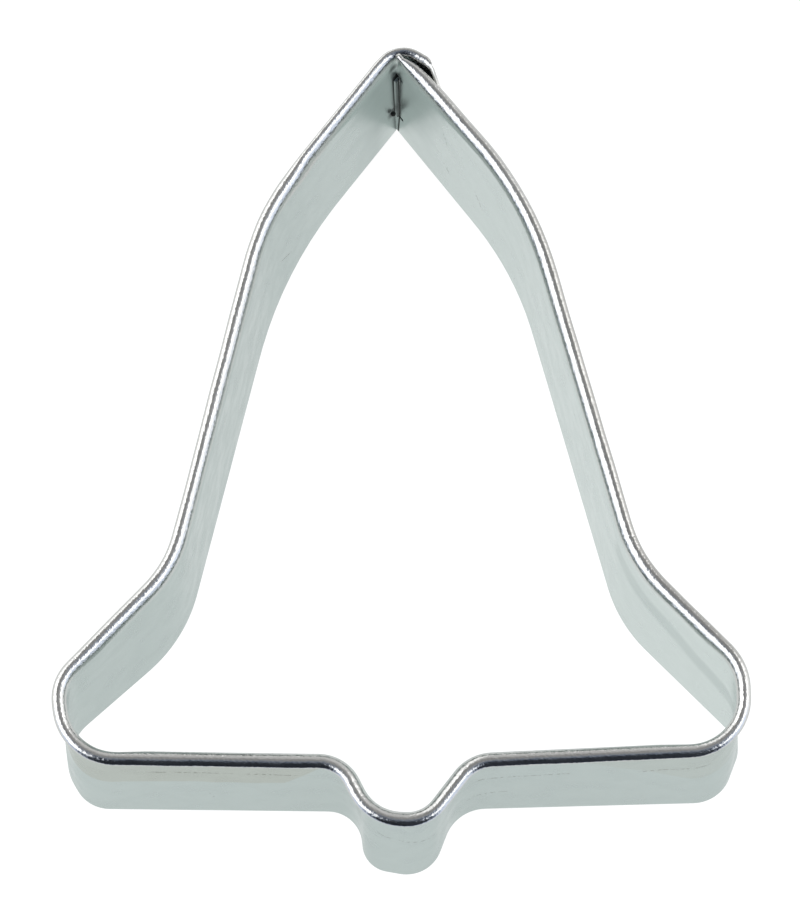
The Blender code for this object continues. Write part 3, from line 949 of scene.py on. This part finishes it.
def studio_world(settings):
    """Soft boxes left and right, a darker gap overhead and a dim room behind the camera."""
    world = bpy.data.worlds.new("soft studio")
    bpy.context.scene.world = world
    world.use_nodes = True
    world.node_tree.nodes.clear()
    add = partial(add_node, world.node_tree)
    x, depth, z = add("SeparateXYZ", add("TexCoord").outputs["Generated"]).outputs
    lean = add("Math", x, z, operation="ARCTAN2")
    places = {"lean": lean, "depth": depth}
    sides = []
    for box in (LEFT_BOX, RIGHT_BOX):
        fades = [add("MapRange", places[name], *fade, **SOFT) for name, *fade in box]
        sides.append(joined(add, "MULTIPLY", *fades))
    front = add("MapRange", depth, *BOXES_FRONT, **SOFT)
    boxes = add("Math", joined(add, "ADD", *sides), front, operation="MULTIPLY")
    slope = add("MapRange", lean, *OVERHEAD_SLOPE)
    back = add("MapRange", depth, *BACK_LIGHT, **SOFT)
    room = add("Math", slope, settings.overhead, back, operation="MULTIPLY_ADD")
    room = add("Math", room, add("MapRange", depth, *FRONT_SHADE, **SOFT), operation="MULTIPLY")
    light = add("Math", boxes, settings.side_light, room, operation="MULTIPLY_ADD")
    plain = add("Math", add("MapRange", depth, *DUSK_END, **SOFT), boxes, operation="MAXIMUM")
    white = (1.0, 1.0, 1.0)
    colour = add("Mix", plain, settings.dusk, white, data_type="RGBA")
    path = add("LightPath").outputs
    seen = add("Math", path["Is Camera Ray"], path["Is Transmission Ray"], operation="ADD", use_clamp=True)
    both = add("MixShader", seen, add("Background", colour, light), add("Background", white, 1.0))
    add("OutputWorld", both)


# Operators


class CUTTER_OT_band(Operator):
    """Build the fine sheet-steel strip with its rolled rim and its lapped seam"""

    bl_idname = "cutter.band"
    bl_label = "Strip with rolled rim"
    bl_options = {"REGISTER", "UNDO"}

    def execute(self, context):
        settings = context.scene.cutter_band
        points, along, climb, heights, marks = sheet_grid(settings)
        cells = kept_cells(points.shape, heights, marks)
        cuts = np.flatnonzero(~cells[:, 0]) + 1
        shells, faces, used = thick_sheet(points, cells, settings.sheet / MM, cuts)
        strip = mesh_piece("rolled_band", shells, faces, tinplate(context.scene.cutter_steel))
        size = points.shape[0] * points.shape[1]
        where = used % size
        place = np.stack([along.ravel()[where] * MM, climb.ravel()[where] * MM, used < size], axis=1)
        layer = strip.data.attributes.new("strip", "FLOAT_VECTOR", "POINT")
        layer.data.foreach_set("vector", place.astype(np.float32).ravel())
        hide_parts("cutter_band")
        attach(strip, "root")
        return {"FINISHED"}


class CUTTER_OT_welds(Operator):
    """Give the two spot welds and the tack weld their finish"""

    bl_idname = "cutter.welds"
    bl_label = "Welds"
    bl_options = {"REGISTER", "UNDO"}

    def execute(self, context):
        steel = context.scene.cutter_steel
        pressed = pressed_weld(steel)
        for name in ("spot_weld_lower", "spot_weld_upper"):
            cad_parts[name].material_slots[0].material = pressed
        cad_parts["tack_weld"].material_slots[0].material = burnt_weld(steel)
        return {"FINISHED"}


class CUTTER_OT_stage(Operator):
    """Lay the floor, set the light and point the camera"""

    bl_idname = "cutter.stage"
    bl_label = "Floor, light and camera"
    bl_options = {"REGISTER", "UNDO"}

    def execute(self, context):
        settings = context.scene.cutter_stage
        left, right = FLOOR_SIDES
        front, back = FLOOR_ENDS
        corners = np.array([[left, front, 0], [right, front, 0], [right, back, 0], [left, back, 0]])
        floor = mesh_piece("floor", corners, np.array([[0, 1, 2, 3]]), floor_paper(settings))
        studio_world(settings)
        camera_data = bpy.data.cameras.new("camera")
        camera_data.sensor_width = CAMERA_SENSOR
        camera_data.lens = CAMERA_LENS
        camera_data.clip_start = CAMERA_NEAREST
        camera = bpy.data.objects.new("camera", camera_data)
        camera.location = Vector(CAMERA_PLACE) * MM
        camera.rotation_euler = Euler((CAMERA_TILT, 0, 0))
        context.scene.collection.objects.link(camera)
        context.scene.camera = camera
        context.scene.view_settings.view_transform = "Standard"
        return {"FINISHED"}


class CUTTER_PT_panel(Panel):
    """Sizes and colours of the cutter, and a button for each piece"""

    bl_label = "Cookie cutter"
    bl_space_type = "VIEW_3D"
    bl_region_type = "UI"
    bl_category = "Cutter"

    def draw(self, context):
        for group in SETTINGS:
            for name in SETTINGS[group].__annotations__:
                self.layout.prop(getattr(context.scene, group), name)
        for operator in OPERATORS:
            self.layout.operator(operator.bl_idname)


SETTINGS = {"cutter_band": BandSettings, "cutter_steel": SteelSettings, "cutter_stage": StageSettings}
OPERATORS = (CUTTER_OT_stage, CUTTER_OT_band, CUTTER_OT_welds)


def register():
    for kind in (*SETTINGS.values(), *OPERATORS, CUTTER_PT_panel):
        bpy.utils.register_class(kind)
    for name, kind in SETTINGS.items():
        setattr(bpy.types.Scene, name, PointerProperty(type=kind))


def unregister():
    for name in SETTINGS:
        delattr(bpy.types.Scene, name)
    for kind in (CUTTER_PT_panel, *reversed(OPERATORS), *reversed(SETTINGS.values())):
        bpy.utils.unregister_class(kind)


def main():
    register()
    bpy.ops.cutter.stage()
    bpy.ops.cutter.band()
    bpy.ops.cutter.welds()


if __name__ == "__main__":
    main()
